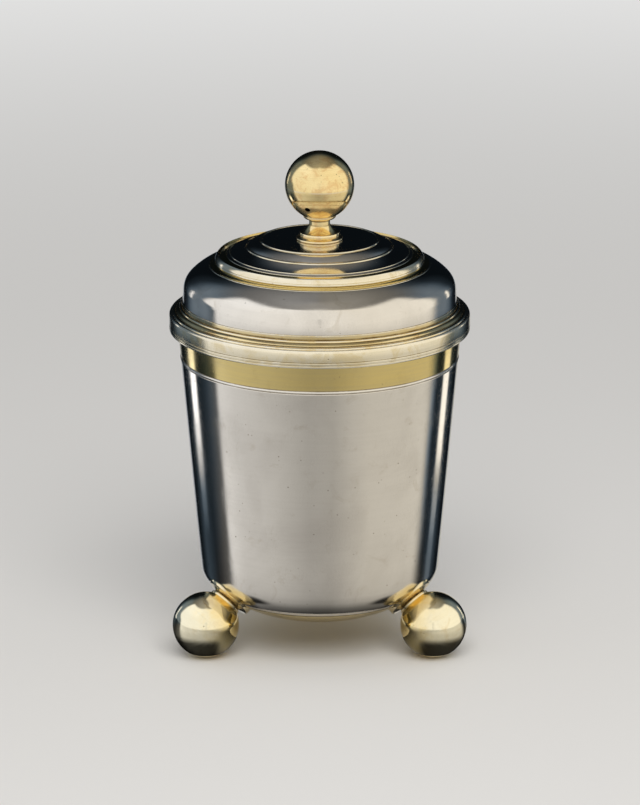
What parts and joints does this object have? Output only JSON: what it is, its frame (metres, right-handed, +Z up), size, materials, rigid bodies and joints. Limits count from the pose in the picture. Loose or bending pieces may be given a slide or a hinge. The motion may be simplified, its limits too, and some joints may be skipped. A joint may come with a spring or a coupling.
{
  "type": "covered beaker",
  "caption": "Silver drinking beaker, partly gilt: a tapering cup with a rounded base on ball feet, and a stepped domed cover with a ball finial that lifts straight off.",
  "frame": {"origin": "centre of the flat underside of the beaker's body, on the beaker's axis", "axes": "+Z up along the beaker's axis, -Y towards the viewer of the picture, between the two front feet, +X to the viewer's right; the third foot points along +Y"},
  "size_m": [0.1074, 0.1126, 0.1801],
  "materials": {
    "silver": "hand-polished old silver, warm grey, with fine scratches, pits and a little tarnish",
    "gilt": "polished gilding over silver, worn pale on the high places and brown in the recesses",
    "pale_gilt": "silver with thin worn gilding",
    "fastening": "dull, unpolished"
  },
  "bodies": {
    "beaker": {"beaker_body": "silver", "foot_left_mount": "gilt", "foot_left_ball_inner": "gilt", "foot_left_ball_outer": "gilt", "foot_right_mount": "gilt", "foot_right_ball_inner": "gilt", "foot_right_ball_outer": "gilt", "foot_rear_mount": "gilt", "foot_rear_ball_inner": "gilt", "foot_rear_ball_outer": "gilt"},
    "cover": {"cover_rim_band": "pale_gilt", "cover_bezel": "gilt", "cover_foot_moulding": "gilt", "cover_dome": "silver", "cover_crown_moulding": "gilt", "finial_base_ring": "gilt", "finial_stem": "gilt", "finial_collar": "gilt", "finial_ball_lower": "gilt", "finial_ball_upper": "gilt", "finial_screw": "fastening", "finial_washer": "fastening", "finial_nut": "fastening"}
  },
  "joints": [
    {"name": "cover_lift", "type": "slide", "parent": "beaker", "child": "cover", "axis": [0, 0, 1], "range_m": [0, 0.06]}
  ]
}
